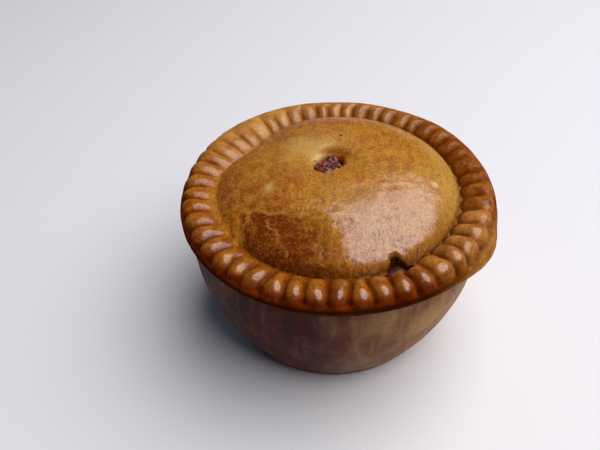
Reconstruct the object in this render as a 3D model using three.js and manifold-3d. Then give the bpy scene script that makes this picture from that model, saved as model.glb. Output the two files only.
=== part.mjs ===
// A whole round pork pie: a bellied case of hot-water pastry, a puffed lid crimped on to it all round,
// a steam vent in the middle of the lid, and a small split beside the crimps where gravy has boiled out.
// Millimetres, +Z up. The pie stands on its flat base, and the origin lies under the middle of the rim.
// Angles run anticlockwise from +X, seen from above. The gravy split is towards -Y and a little to the right.
import * as THREE from "three";
import { mergeVertices } from "three/addons/utils/BufferGeometryUtils.js";
import Module from "manifold-3d";

const wasm = await Module();
wasm.setup();

// ---- Driving dimensions ----
const RIM_RADIUS = 56.5; // over the crimped rim
const RIM_HEIGHT = 61.0; // crest of the crimps
const PIE_HEIGHT = 68.2; // top of the lid

// Case: a flat base, a small turned corner and a wall that bellies out above it
const BASE_RADIUS = 0.728 * RIM_RADIUS;
const BASE_CORNER = 2.2;
const BELLY_RADIUS = 0.933 * RIM_RADIUS;
const BELLY_HEIGHT = 0.742 * RIM_RADIUS;
const WALL_TOP = 0.945 * RIM_RADIUS;
const LEAN = { x: -1.3, y: 0.7 }; // the base stands this far off the middle of the rim

// Flange: the thin edge of the lid, pressed against the top of the case and standing out over the wall
const FLANGE_UNDERSIDE = 0.962 * RIM_RADIUS;
const FLANGE_TOP = 0.984 * RIM_RADIUS;
const SAG = { angle: -0.43, spread: 0.4, drop: 4.4, out: 2.1 }; // where soft pastry has run over the tin
const NUB = { angle: 2.53, spread: 0.03, out: 1.3 }; // a pinch left on the edge

// Crimped rim: a roll of pastry, steep on its outer side, pressed into radial ridges
const CRIMPS = 48;
const CREST_RADIUS = 0.9 * RIM_RADIUS;
const ROLL_OUTER = 0.09 * RIM_RADIUS;
const ROLL_END = 3.0; // the roll's arc runs from its outer face, over the crest, to the groove beside the lid
const CRIMP_DEPTH = 2.4;
const CRIMP_ROUNDNESS = 0.62; // below 1, so that the ridges are round and the furrows between them narrow
const CRIMP_SPREAD = 0.04; // crimps are wider to the left and right than at the front and back,
const CRIMP_FRONTING = 0.05; // and wider at the front than at the back
const CRIMP_TURN = -0.035; // where the first one starts
const CRIMP_WANDER = 0.01; // uneven spacing, in radians

// Lid: a dome that rises steeply from the groove, fuller towards the back right than towards the back left
const GROOVE_RADIUS = 0.775 * RIM_RADIUS;
const LONG_CRIMPS = { angle: 2.5, spread: 0.4, reach: 4.2 }; // here the crimps run further in over the lid
const GROOVE_HEIGHT = 0.98 * RIM_RADIUS;
const LID_FULLNESS = 2.9;
const LID_FULLNESS_SWING = 0.5;
const LID_FULL_SIDE = -0.6;
// In front of this line the lid falls away.
const FOLD = { y: -22, x: -12, spread: 26, width: 17, depth: 2.0 };

// Steam vent in the lid: a funnel with a small well of filling in it
const VENT = { x: -2.6, y: 2.4, mouth: 5.8, level: 5.2, floor: 4.6 };
const VENT_LEVEL = 63.8;
const VENT_BOTTOM = 58.5;
const VENT_LOBING = 0.14;
const VENT_TURN = 0.5;
const FUNNEL_RADIUS = 7.4;
const FUNNEL_DEPTH = 2.6;

// Split between lid and crimps, with gravy standing in it: a three-cornered well
const SPLIT = { angle: -1.08, radius: 0.797 * RIM_RADIUS, mouth: 3.0, level: 2.6, floor: 2.3 };
const SPLIT_LEVEL = 55.4;
const SPLIT_BOTTOM = 51.0;
const SPLIT_LOBING = 0.16;

const SEAT_GAP = 0.3; // filling and gravy lie this far from the pastry round them

// Facets
const CRIMP_COLUMNS = CRIMPS * 4;
const SMOOTH_COLUMNS = CRIMPS * 2;
const WELL_COLUMNS = CRIMPS / 2;
const SPLIT_COLUMNS = CRIMPS / 4;

// ---- Hand-made unevenness ----

// A smooth wobble between -1 and 1 that closes on itself round the pie
function uneven(angle, a, b, c) {
  return (Math.sin(a * angle + 1.3) + Math.sin(b * angle + 4.1) + Math.sin(c * angle + 2.2)) / 3;
}

// 1 at the middle of a feature on the rim, falling smoothly to 0 round the rim from it
function near(angle, feature) {
  const away = Math.atan2(Math.sin(angle - feature.angle), Math.cos(angle - feature.angle));
  return Math.exp(-((away / feature.spread) ** 2));
}

// Angle of a place on the rim, counted in crimps from 0 to CRIMPS
function crimpAngle(count) {
  const even = (2 * Math.PI * count) / CRIMPS;
  const widening = CRIMP_SPREAD * Math.sin(2 * even) + CRIMP_FRONTING * Math.cos(even);
  return even + CRIMP_TURN + widening + CRIMP_WANDER * uneven(even, 5, 11, 17);
}

// 0 in the furrow between two crimps, 1 on the ridge of a crimp
function ridge(count) {
  return Math.abs(Math.sin(Math.PI * count)) ** CRIMP_ROUNDNESS;
}

// Where the crimps end against the lid
function grooveRadius(angle) {
  return GROOVE_RADIUS - LONG_CRIMPS.reach * near(angle, LONG_CRIMPS);
}

// ---- Skins ----
// A ring is { columns, at(angle, count) -> [radius, height], x, y }, and a skin is the closed surface
// through a list of rings, from a point in the middle of the first to a point in the middle of the last.

function ringPoints({ columns, at, x = 0, y = 0 }) {
  return Array.from({ length: columns }, (_, column) => {
    const count = (column * CRIMPS) / columns;
    const angle = crimpAngle(count);
    const [radius, height] = at(angle, count);
    return [x + radius * Math.cos(angle), y + radius * Math.sin(angle), height];
  });
}

function middleOf(points) {
  const sum = points.reduce((total, p) => [total[0] + p[0], total[1] + p[1], total[2] + p[2]], [0, 0, 0]);
  return sum.map((value) => value / points.length);
}

// Triangles between two rings, of which one may have a whole number of times the columns of the other
function stitch(lower, upper, lowerStart, upperStart) {
  const faces = [];
  const steps = Math.max(lower, upper);
  let [low, up] = [0, 0];
  for (let step = 1; step <= steps; step++) {
    const nextLow = Math.round((step * lower) / steps);
    const nextUp = Math.round((step * upper) / steps);
    const [a, nextA] = [low, nextLow].map((column) => lowerStart + (column % lower));
    const [b, nextB] = [up, nextUp].map((column) => upperStart + (column % upper));
    if (lower !== upper || step % 4 === 1 || step % 4 === 2) {
      if (nextLow > low) faces.push([a, nextA, b]);
      if (nextUp > up) faces.push([nextA, nextB, b]);
    } else {
      // the other diagonal, so that both flanks of a crimp are alike
      faces.push([a, nextA, nextB], [a, nextB, b]);
    }
    [low, up] = [nextLow, nextUp];
  }
  return faces;
}

function skin(rings) {
  const loops = rings.map(ringPoints);
  const points = loops.flat();
  const starts = loops.map((_, k) => loops.slice(0, k).reduce((sum, loop) => sum + loop.length, 0));
  const faces = rings
    .slice(1)
    .flatMap((ring, k) => stitch(rings[k].columns, ring.columns, starts[k], starts[k + 1]));
  const first = points.push(middleOf(loops[0])) - 1;
  for (let i = 0; i < rings[0].columns; i++) {
    faces.push([first, (i + 1) % rings[0].columns, i]);
  }
  const last = points.push(middleOf(loops.at(-1))) - 1;
  const [lastStart, lastColumns] = [starts.at(-1), rings.at(-1).columns];
  for (let i = 0; i < lastColumns; i++) {
    faces.push([lastStart + i, lastStart + ((i + 1) % lastColumns), last]);
  }
  const geometry = new THREE.BufferGeometry();
  geometry.setAttribute("position", new THREE.Float32BufferAttribute(points.flat(), 3));
  geometry.setIndex(faces.flat());
  return geometry;
}

// ---- Case ----

function wallRadius(height) {
  return BELLY_RADIUS - (BELLY_RADIUS - BASE_RADIUS) * (1 - height / BELLY_HEIGHT) ** 2;
}

function baseRings() {
  const flat = wallRadius(BASE_CORNER) - BASE_CORNER;
  const corner = [0, 0.33, 0.67, 1].map((share) => {
    const turn = (share * Math.PI) / 2;
    return {
      columns: SMOOTH_COLUMNS,
      at: () => [flat + BASE_CORNER * Math.sin(turn), BASE_CORNER * (1 - Math.cos(turn))],
    };
  });
  return [{ columns: WELL_COLUMNS, at: () => [flat * 0.6, 0] }, ...corner];
}

function wallRings() {
  const steps = 7;
  return Array.from({ length: steps }, (_, k) => {
    const share = (k + 1) / steps;
    const height = BASE_CORNER + (WALL_TOP - BASE_CORNER) * share;
    return {
      columns: SMOOTH_COLUMNS,
      at: (angle) => [
        wallRadius(height) + 0.5 * uneven(angle, 2, 3, 5) * Math.sin(Math.PI * share),
        height - SAG.drop * near(angle, SAG) * share ** 3,
      ],
    };
  });
}

// ---- Flange and crimped rim ----

function flangeRings() {
  const radius = (angle) => RIM_RADIUS - 0.5 + 0.4 * uneven(angle, 3, 4, 7);
  return [
    {
      columns: SMOOTH_COLUMNS,
      at: (angle) => [
        radius(angle) - 0.5 + SAG.out * near(angle, SAG),
        FLANGE_UNDERSIDE - SAG.drop * near(angle, SAG),
      ],
    },
    {
      columns: SMOOTH_COLUMNS,
      at: (angle) => [
        radius(angle) + SAG.out * near(angle, SAG) + NUB.out * near(angle, NUB),
        FLANGE_UNDERSIDE + 0.5 - SAG.drop * near(angle, SAG),
      ],
    },
    {
      columns: SMOOTH_COLUMNS,
      at: (angle) => [
        radius(angle) - 0.2 + NUB.out * near(angle, NUB),
        FLANGE_TOP - 0.2 * SAG.drop * near(angle, SAG) + 0.8 * NUB.out * near(angle, NUB),
      ],
    },
  ];
}

// Across the roll: a turn of 0 is its outer face, a quarter turn its crest, and a half turn the groove
function rollRings() {
  const steps = 11;
  return Array.from({ length: steps + 1 }, (_, k) => {
    const turn = (ROLL_END * k) / steps;
    const outside = turn < Math.PI / 2;
    const across = Math.sign(Math.cos(turn)) * Math.abs(Math.cos(turn)) ** (outside ? 0.55 : 1);
    const up = Math.sin(turn) ** (outside ? 0.8 : 1);
    // the furrows run out on the outer face, and the ridges end in round fingertips at the groove
    const running = THREE.MathUtils.smoothstep(turn, -0.1, 1.2);
    const strength = running * (1 - 0.5 * THREE.MathUtils.smoothstep(turn, 2.3, 3.3));
    return {
      columns: k === 0 ? SMOOTH_COLUMNS : CRIMP_COLUMNS,
      at: (angle, count) => {
        const lift = CRIMP_DEPTH * (1 + 0.18 * uneven(angle, 7, 13, 23)) * strength * (ridge(count) - 1);
        const middle = CREST_RADIUS + 0.3 * uneven(angle, 3, 4, 7);
        const rise = RIM_HEIGHT - GROOVE_HEIGHT + 0.3 * uneven(angle, 2, 5, 9);
        const width = outside ? ROLL_OUTER : CREST_RADIUS - grooveRadius(angle) + 0.3;
        return [
          middle + width * across + lift * Math.cos(turn),
          GROOVE_HEIGHT + 0.6 + (rise - 0.6) * up + lift * Math.sin(turn),
        ];
      },
    };
  });
}

// ---- Lid ----

function lidHeight(x, y) {
  const angle = Math.atan2(y, x);
  const swing = LID_FULLNESS_SWING * (Math.cos(angle - LID_FULL_SIDE) - near(angle, LONG_CRIMPS));
  const share = Math.min(1, Math.hypot(x, y) / grooveRadius(angle));
  const dome = (PIE_HEIGHT - GROOVE_HEIGHT) * Math.sqrt(1 - share ** (LID_FULLNESS + swing));
  const funnel = FUNNEL_DEPTH * Math.exp(-((Math.hypot(x - VENT.x, y - VENT.y) / FUNNEL_RADIUS) ** 2));
  const past = THREE.MathUtils.clamp((FOLD.y - y) / FOLD.width, 0, 1);
  const fold = FOLD.depth * Math.sin(Math.PI * past) * Math.exp(-(((x - FOLD.x) / FOLD.spread) ** 4));
  return GROOVE_HEIGHT + dome - funnel - fold * (1 - share ** 8);
}

// The vent is a little out of round
function ventRadius(radius, angle) {
  return radius * (1 + VENT_LOBING * Math.cos(2 * (angle - VENT_TURN)));
}

// The lid's rings close in from the groove on the mouth of the vent, and then go down into it.
function lidRings() {
  const shares = [1, 0.985, 0.955, 0.9, 0.82, 0.71, 0.58, 0.44, 0.31, 0.21, 0.14, 0.08, 0.03, 0];
  const slope = shares.map((share, k) => {
    const [x, y] = [VENT.x * (1 - share), VENT.y * (1 - share)];
    return {
      x,
      y,
      columns: k < 6 ? SMOOTH_COLUMNS : CRIMPS,
      at: (angle) => {
        const radius = ventRadius(VENT.mouth, angle) * (1 - share) + grooveRadius(angle) * share;
        return [radius, lidHeight(x + radius * Math.cos(angle), y + radius * Math.sin(angle))];
      },
    };
  });
  const well = [
    [VENT.level, VENT_LEVEL],
    [VENT.floor, VENT_BOTTOM],
  ].map(([radius, height]) => ({
    x: VENT.x,
    y: VENT.y,
    columns: WELL_COLUMNS,
    at: (angle) => [ventRadius(radius, angle), height],
  }));
  return [...slope, ...well];
}

// ---- What stands in the vent and the split ----

function lumpyFill(x, y, columns, outline, sizes, bottom, level, lumps) {
  const rings = [
    [sizes.floor - SEAT_GAP, () => bottom + SEAT_GAP],
    [sizes.level - SEAT_GAP, () => level],
    [sizes.level * 0.62, (angle) => level + lumps * (0.5 + 0.5 * uneven(angle, 2, 3, 4))],
    [sizes.level * 0.3, (angle) => level + lumps * (0.9 + 0.4 * uneven(angle, 1, 2, 3))],
  ];
  return skin(
    rings.map(([radius, height]) => ({
      x,
      y,
      columns,
      at: (angle) => [outline(radius, angle), height(angle)],
    })),
  );
}

const splitX = SPLIT.radius * Math.cos(SPLIT.angle);
const splitY = SPLIT.radius * Math.sin(SPLIT.angle);

// One corner of the split points up the lid.
function splitRadius(radius, angle) {
  return radius * (1 - SPLIT_LOBING * Math.cos(3 * (angle - SPLIT.angle)));
}

function splitCutter() {
  const heights = [
    [SPLIT.floor, SPLIT_BOTTOM],
    [SPLIT.level, SPLIT_LEVEL],
    [SPLIT.mouth, SPLIT_LEVEL + 3],
    [SPLIT.mouth, PIE_HEIGHT + 10],
  ];
  return skin(
    heights.map(([radius, height]) => ({
      x: splitX,
      y: splitY,
      columns: SPLIT_COLUMNS,
      at: (angle) => [splitRadius(radius, angle), height],
    })),
  );
}

// ---- Booleans ----

function solid(geometry) {
  const plain = geometry.clone();
  plain.deleteAttribute("normal");
  plain.deleteAttribute("uv");
  const merged = mergeVertices(plain, 1e-4);
  return new wasm.Manifold(
    new wasm.Mesh({
      numProp: 3,
      vertProperties: merged.attributes.position.array,
      triVerts: new Uint32Array(merged.index.array),
    }),
  );
}

function geometryOf(manifold) {
  const mesh = manifold.getMesh();
  const geometry = new THREE.BufferGeometry();
  geometry.setAttribute("position", new THREE.Float32BufferAttribute(mesh.vertProperties, 3));
  geometry.setIndex(Array.from(mesh.triVerts));
  return geometry;
}

// Shifts every point sideways, by the lean at the base and by nothing at the rim
function leant(geometry) {
  const position = geometry.attributes.position;
  for (let i = 0; i < position.count; i++) {
    const share = 1 - Math.min(1, position.getZ(i) / FLANGE_UNDERSIDE);
    position.setX(i, position.getX(i) + LEAN.x * share);
    position.setY(i, position.getY(i) + LEAN.y * share);
  }
  return geometry;
}

function pastry() {
  const rings = [...baseRings(), ...wallRings(), ...flangeRings(), ...rollRings(), ...lidRings()];
  return geometryOf(solid(leant(skin(rings))).subtract(solid(splitCutter())));
}

// ---- Assembly ----

function named(name, geometry, color, roughness) {
  geometry.computeVertexNormals();
  const mesh = new THREE.Mesh(geometry, new THREE.MeshStandardMaterial({ color, roughness, metalness: 0 }));
  mesh.name = name;
  return mesh;
}

const filling = lumpyFill(VENT.x, VENT.y, WELL_COLUMNS, ventRadius, VENT, VENT_BOTTOM, VENT_LEVEL, 1.1);
const gravy = lumpyFill(splitX, splitY, SPLIT_COLUMNS, splitRadius, SPLIT, SPLIT_BOTTOM, SPLIT_LEVEL, 0.4);

const pie = new THREE.Group();
pie.add(
  named("pastry", pastry(), 0xb9772f, 0.42),
  named("vent_filling", filling, 0x6a2420, 0.2),
  named("split_gravy", gravy, 0x3e120a, 0.15),
);

// The origin goes to the middle of the bounding box, because the rim isn't quite round.
const box = new THREE.Box3().setFromObject(pie, true);
const middle = box.getCenter(new THREE.Vector3());
pie.position.set(-middle.x, -middle.y, -box.min.z);

export default pie;
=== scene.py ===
import math

import bpy
from mathutils import Matrix, Vector


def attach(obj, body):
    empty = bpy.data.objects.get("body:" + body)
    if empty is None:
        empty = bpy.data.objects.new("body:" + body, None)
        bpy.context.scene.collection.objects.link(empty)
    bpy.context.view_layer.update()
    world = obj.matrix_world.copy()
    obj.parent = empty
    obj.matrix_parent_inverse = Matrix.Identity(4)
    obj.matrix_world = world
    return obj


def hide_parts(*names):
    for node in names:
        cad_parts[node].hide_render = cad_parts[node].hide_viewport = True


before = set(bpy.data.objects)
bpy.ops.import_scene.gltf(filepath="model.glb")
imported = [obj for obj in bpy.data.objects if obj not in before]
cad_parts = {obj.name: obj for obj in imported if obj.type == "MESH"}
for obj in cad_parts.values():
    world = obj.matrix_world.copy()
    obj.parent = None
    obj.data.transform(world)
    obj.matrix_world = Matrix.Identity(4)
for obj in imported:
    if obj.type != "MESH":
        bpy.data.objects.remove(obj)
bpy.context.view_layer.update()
mm = 0.001

# ---- Table and light ----
# The pie stands on a plain pale table top in a room with one big window, behind it and to the right. The rest
# of the room only fills the shadows. The eye is above the front edge of the table, a forearm away.


def tone(hexadecimal):
    """The linear colour of a hexadecimal sRGB one."""
    parts = [int(hexadecimal[i : i + 2], 16) / 255 for i in (1, 3, 5)]
    return (*(p / 12.92 if p <= 0.04045 else ((p + 0.055) / 1.055) ** 2.4 for p in parts), 1.0)


class Field:
    """A value in a node tree. Sums on it add the Math nodes that work them out."""

    def __init__(self, socket):
        self.socket = socket

    def step(self, operation, *others, clamp=False):
        """Adds a Math node that works on this value and the others."""
        node = self.socket.id_data.nodes.new("ShaderNodeMath")
        node.operation = operation
        node.use_clamp = clamp
        for place, value in zip(node.inputs, (self, *others)):
            feed(value, place)
        return Field(node.outputs[0])

    def __add__(self, other):
        return self.step("ADD", other)

    __radd__ = __add__

    def __sub__(self, other):
        return self.step("SUBTRACT", other)

    def __rsub__(self, other):
        return self.step("MULTIPLY_ADD", -1.0, other)

    def __mul__(self, other):
        return self.step("MULTIPLY", other)

    __rmul__ = __mul__

    def __truediv__(self, other):
        return self.step("DIVIDE", other)

    def __pow__(self, other):
        return self.step("POWER", other)

    def sin(self):
        return self.step("SINE")

    def cos(self):
        return self.step("COSINE")

    def size(self):
        return self.step("ABSOLUTE")

    def clamped(self):
        """The value, held between 0 and 1."""
        return self.step("ADD", 0.0, clamp=True)

    def capped(self):
        """The value, but no more than 1."""
        return self.step("MINIMUM", 1.0)

    def bell(self):
        """1 where the value is 0, falling to 0 on both sides."""
        return (self * self * -1.0).step("EXPONENT")

    def rise(self, low, high):
        """0 below low, 1 above high, and smooth between."""
        node = self.socket.id_data.nodes.new("ShaderNodeMapRange")
        node.interpolation_type = "SMOOTHSTEP"
        for place, value in zip(node.inputs, (self, low, high, 0.0, 1.0)):
            feed(value, place)
        return Field(node.outputs[0])


def feed(value, socket):
    """Links a Field to a socket, or sets a plain value on it."""
    if isinstance(value, Field):
        socket.id_data.links.new(value.socket, socket)
    else:
        socket.default_value = value


def add(tree, kind, inputs=None, **settings):
    """Adds a node, with its settings, and its inputs by name or number."""
    node = tree.nodes.new(kind)
    for name, value in settings.items():
        setattr(node, name, value)
    for name, value in (inputs or {}).items():
        feed(value, node.inputs[name])
    return node


def plain_material(name, colour, roughness):
    material = bpy.data.materials.new(name)
    material.use_nodes = True
    shader = material.node_tree.nodes["Principled BSDF"]
    shader.inputs["Base Color"].default_value = colour
    shader.inputs["Roughness"].default_value = roughness
    return material


TABLE_REACH = 3.0
TABLE_GAP = 0.2 * mm

table_mesh = bpy.data.meshes.new("table_top")
corner_signs = ((-1, -1), (1, -1), (1, 1), (-1, 1))
table_corners = [(TABLE_REACH * a, TABLE_REACH * b, -TABLE_GAP) for a, b in corner_signs]
table_mesh.from_pydata(table_corners, [], [(0, 1, 2, 3)])
table_mesh.materials.append(plain_material("pale_board", tone("#F5F6FA"), 0.5))
table_top = bpy.data.objects.new("table_top", table_mesh)
bpy.context.scene.collection.objects.link(table_top)


def window(name, towards, distance, width, height, power, colour):
    """A soft window: a glowing panel that faces the pie from a direction."""
    light = bpy.data.lights.new(name, "AREA")
    light.shape = "ELLIPSE"
    light.size, light.size_y = width, height
    light.energy, light.color = power, colour
    panel = bpy.data.objects.new(name, light)
    back = Vector(towards).normalized()
    panel.location = back * distance + Vector((0, 0, 0.05))
    panel.rotation_euler = (-back).to_track_quat("-Z", "Y").to_euler()
    bpy.context.scene.collection.objects.link(panel)
    return panel


DAYLIGHT, BLUE_SHADE = (1.0, 0.96, 0.965), (0.42, 0.66, 1.0)
window("window", (0.42, 0.07, 0.88), distance=1.1, width=1.75, height=1.35, power=18.2, colour=DAYLIGHT)
fill = window("room_left", (-1, 0.9, 0.5), distance=1.6, width=1.0, height=0.8, power=1.35, colour=BLUE_SHADE)
fill.visible_glossy = False  # this one only tints the shadows; the crust shows one window's reflection

room = bpy.data.worlds.new("room")
room.use_nodes = True
room.node_tree.nodes["Background"].inputs["Color"].default_value = tone("#BFC8DC")
room.node_tree.nodes["Background"].inputs["Strength"].default_value = 0.06
bpy.context.scene.world = room
bpy.context.scene.view_settings.view_transform = "Standard"

LENS, LENS_PLATE = 35.0, 36.0
EYE = Vector((0.6, -162.0, 191.2)) * mm
LOOK_DOWN, LOOK_LEFT, HEAD_TILT = math.radians(43.2), math.radians(4.96), math.radians(-2.52)

camera = bpy.data.objects.new("camera", bpy.data.cameras.new("camera"))
camera.data.lens, camera.data.sensor_width = LENS, LENS_PLATE
camera.data.clip_start = 0.01
camera.matrix_world = (
    Matrix.Translation(EYE)
    @ Matrix.Rotation(LOOK_LEFT, 4, "Z")
    @ Matrix.Rotation(math.pi / 2 - LOOK_DOWN, 4, "X")
    @ Matrix.Rotation(HEAD_TILT, 4, "Z")
)
bpy.context.scene.collection.objects.link(camera)
bpy.context.scene.camera = camera

# ---- Case ----
# The case is hot-water pastry raised in a round tin: a flat base, a small turned corner and a wall that has
# bellied out in the oven. It carries no egg wash, so it bakes to a dull, greasy brown.

RIM_RADIUS = 56.5 * mm
BASE_RADIUS = 0.728 * RIM_RADIUS
BASE_CORNER = 2.2 * mm
BELLY_RADIUS = 0.933 * RIM_RADIUS
BELLY_HEIGHT = 0.742 * RIM_RADIUS
LEAN = Vector((-1.3, 0.7)) * mm
LEAN_HEIGHT = 0.962 * RIM_RADIUS
TIN_LINE = 50.6 * mm
WALL_TOP, WALL_END = 54.0 * mm, 55.0 * mm


def wall_radius(height):
    """The wall's distance from the axis: a parabola from the base, out to the belly and in again."""
    return BELLY_RADIUS - (BELLY_RADIUS - BASE_RADIUS) * (1 - height / BELLY_HEIGHT) ** 2


def wall_profile():
    """Rows from the middle of the base, up the wall, to a hidden end under the lid: radius and height."""
    flat = wall_radius(BASE_CORNER) - BASE_CORNER
    rows = [(flat * share, 0.0) for share in (0, 0.12, 0.25, 0.4, 0.55, 0.7, 0.82, 0.91, 0.97, 0.99)]
    for step in range(9):
        turn = math.pi / 2 * step / 8
        rows.append((flat + BASE_CORNER * math.sin(turn), BASE_CORNER * (1 - math.cos(turn))))
    for step in range(1, 97):
        height = BASE_CORNER + (WALL_TOP - BASE_CORNER) * step / 96
        # the rim of the tin leaves a faint line round the wall, a little under the flange
        line = 0.22 * mm * math.exp(-(((height - TIN_LINE) / (0.45 * mm)) ** 2))
        rows.append((wall_radius(height) - line, height))
    return rows + [(share * BELLY_RADIUS, WALL_END) for share in (0.9, 0.5, 0.0)]


def profile_object(name, rows, **marks):
    """A row of points that a Geometry Nodes tree turns round the pie's axis, with a number for each mark."""
    mesh = bpy.data.meshes.new(name)
    steps = [(i, i + 1) for i in range(len(rows) - 1)]
    mesh.from_pydata([(radius, 0, height) for radius, height in rows], steps, [])
    for mark, values in marks.items():
        mesh.attributes.new(mark, "FLOAT", "POINT").data.foreach_set("value", values)
    outline = bpy.data.objects.new(name, mesh)
    bpy.context.scene.collection.objects.link(outline)
    return outline


def new_tree(name, sizes):
    """An empty Geometry Nodes tree. Gives the tree, its geometry and a Field for each named input."""
    tree = bpy.data.node_groups.new(name, "GeometryNodeTree")
    tree.interface.new_socket("Geometry", in_out="OUTPUT", socket_type="NodeSocketGeometry")
    tree.interface.new_socket("Geometry", in_out="INPUT", socket_type="NodeSocketGeometry")
    for label, value in sizes.items():
        kind = "NodeSocketInt" if isinstance(value, int) else "NodeSocketFloat"
        tree.interface.new_socket(label, in_out="INPUT", socket_type=kind).default_value = value
    tree.interface.new_socket("Material", in_out="INPUT", socket_type="NodeSocketMaterial")
    start = tree.nodes.new("NodeGroupInput").outputs
    return tree, Field(start["Geometry"]), {label: Field(start[label]) for label in (*sizes, "Material")}


def end_tree(tree, geometry, material):
    """Realize Instances, smooth faces and the material, which every tree ends in."""
    real = add(tree, "GeometryNodeRealizeInstances", {"Geometry": geometry})
    smooth = add(tree, "GeometryNodeSetShadeSmooth", {"Geometry": Field(real.outputs[0])})
    paint = {"Geometry": Field(smooth.outputs[0]), "Material": material}
    painted = add(tree, "GeometryNodeSetMaterial", paint)
    tree.links.new(painted.outputs[0], tree.nodes.new("NodeGroupOutput").inputs[0])


def make_piece(name, source, tree, sizes, material):
    """Runs a tree on a source object and keeps the result as a plain mesh at the origin."""
    modifier = source.modifiers.new("make", "NODES")
    modifier.node_group = tree
    for item in tree.interface.items_tree:
        if item.in_out == "INPUT" and item.name in sizes:
            modifier[item.identifier] = sizes[item.name]
        elif item.in_out == "INPUT" and item.name == "Material":
            modifier[item.identifier] = material
    bpy.context.view_layer.update()
    made = source.evaluated_get(bpy.context.evaluated_depsgraph_get())
    mesh = bpy.data.meshes.new_from_object(made)
    mesh.name = name
    source.modifiers.remove(modifier)
    bpy.data.objects.remove(source)
    piece = bpy.data.objects.new(name, mesh)
    bpy.context.scene.collection.objects.link(piece)
    return piece


def xyz(tree, vector):
    parts = add(tree, "ShaderNodeSeparateXYZ", {"Vector": vector})
    return [Field(parts.outputs[axis]) for axis in "XYZ"]


def vector_of(tree, x=0.0, y=0.0, z=0.0):
    return Field(add(tree, "ShaderNodeCombineXYZ", {"X": x, "Y": y, "Z": z}).outputs[0])


def place_now(tree):
    """Where the skin's points are at this stage of the tree."""
    return Field(add(tree, "GeometryNodeInputPosition").outputs[0])


def turned_grid(tree, profile, columns):
    """A grid with a column for each step round the pie and a row for each profile point, and its fields."""
    points = Field(add(tree, "GeometryNodeAttributeDomainSize", {"Geometry": profile}).outputs["Point Count"])
    grid = add(
        tree,
        "GeometryNodeMeshGrid",
        {"Size X": 1.0, "Size Y": 1.0, "Vertices X": columns + 1.0, "Vertices Y": points},
    )
    grid_x, grid_y, _ = xyz(tree, place_now(tree))
    around = grid_x + 0.5
    row = ((grid_y + 0.5) * (points - 1.0)).step("ROUND")

    def at_row(value, kind="FLOAT"):
        picked = {"Geometry": profile, "Index": row}
        sample = add(tree, "GeometryNodeSampleIndex", picked, data_type=kind, domain="POINT")
        feed(value, next(s for s in sample.inputs if s.name == "Value" and s.enabled))
        return Field(next(s for s in sample.outputs if s.enabled))

    radius, _, height = xyz(tree, at_row(place_now(tree), "FLOAT_VECTOR"))

    def mark(name):
        attribute = add(tree, "GeometryNodeInputNamedAttribute", {"Name": name}, data_type="FLOAT")
        return at_row(Field(attribute.outputs["Attribute"]))

    return Field(grid.outputs["Mesh"]), around, radius, height, mark


def uneven(angle, a, b, c):
    """A smooth wobble between -1 and 1 that closes on itself round the pie."""
    return ((angle * a + 1.3).sin() + (angle * b + 4.1).sin() + (angle * c + 2.2).sin()) / 3.0


def near(angle, centre, spread):
    """1 at an angle round the pie, falling smoothly to 0 on both sides."""
    away = angle - centre
    return (away.sin().step("ARCTAN2", away.cos()) / spread).bell()


def keep(tree, geometry, name, value):
    """Stores a value on the mesh for its material to read."""
    named = {"Geometry": geometry, "Name": name}
    store = add(tree, "GeometryNodeStoreNamedAttribute", named, data_type="FLOAT")
    feed(value, next(s for s in store.inputs if s.name == "Value" and s.enabled))
    return Field(store.outputs[0])


def move_to(tree, geometry, x, y, z):
    """Puts a grid's points in their places and closes its seam and its two poles."""
    moved = add(tree, "GeometryNodeSetPosition", {"Geometry": geometry, "Position": vector_of(tree, x, y, z)})
    touching = {"Geometry": Field(moved.outputs[0]), "Distance": 0.001 * mm}
    return Field(add(tree, "GeometryNodeMergeByDistance", touching).outputs[0])


def swell(tree, geometry, scale, height, seed, weight=1.0):
    """Pushes a skin in and out along its normals by soft lumps, so many of them to the metre."""
    soft = {"Scale": scale, "Detail": 2.0, "Roughness": 0.5, "W": seed}
    lumps = add(tree, "ShaderNodeTexNoise", soft, noise_dimensions="4D")
    push = (Field(lumps.outputs["Fac"]) - 0.5) * height * weight
    normal = Field(add(tree, "GeometryNodeInputNormal").outputs[0])
    outward = add(tree, "ShaderNodeVectorMath", {0: normal}, operation="SCALE")
    feed(push, outward.inputs["Scale"])
    moved = add(tree, "GeometryNodeSetPosition", {"Geometry": geometry, "Offset": Field(outward.outputs[0])})
    return Field(moved.outputs[0])


case_tree, case_profile, case_sizes = new_tree(
    "raised_case",
    {"Columns": 384, "Lean X": 0.0, "Lean Y": 0.0, "Lean Height": 1.0, "Bulge": 0.0, "Lumps": 0.0, "Seed": 0},
)
case_grid, case_around, case_radius, case_height, _ = turned_grid(
    case_tree, case_profile, case_sizes["Columns"]
)
case_angle = case_around * math.tau
case_share = case_height / case_sizes["Lean Height"]
case_bulge = uneven(case_angle, 2, 3, 5) * (case_share * math.pi).sin() * case_sizes["Bulge"]
case_spread = case_radius + case_bulge * case_radius.rise(0.3 * BASE_RADIUS, BASE_RADIUS)
case_lean = 1.0 - case_share
case_skin = move_to(
    case_tree,
    case_grid,
    case_spread * case_angle.cos() + case_lean * case_sizes["Lean X"],
    case_spread * case_angle.sin() + case_lean * case_sizes["Lean Y"],
    case_height,
)
BROAD_LUMPS = 60.0
off_table = xyz(case_tree, place_now(case_tree))[2].rise(1 * mm, 9 * mm)
case_skin = swell(case_tree, case_skin, BROAD_LUMPS, case_sizes["Lumps"], case_sizes["Seed"], off_table)
end_tree(case_tree, case_skin, case_sizes["Material"])


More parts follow.
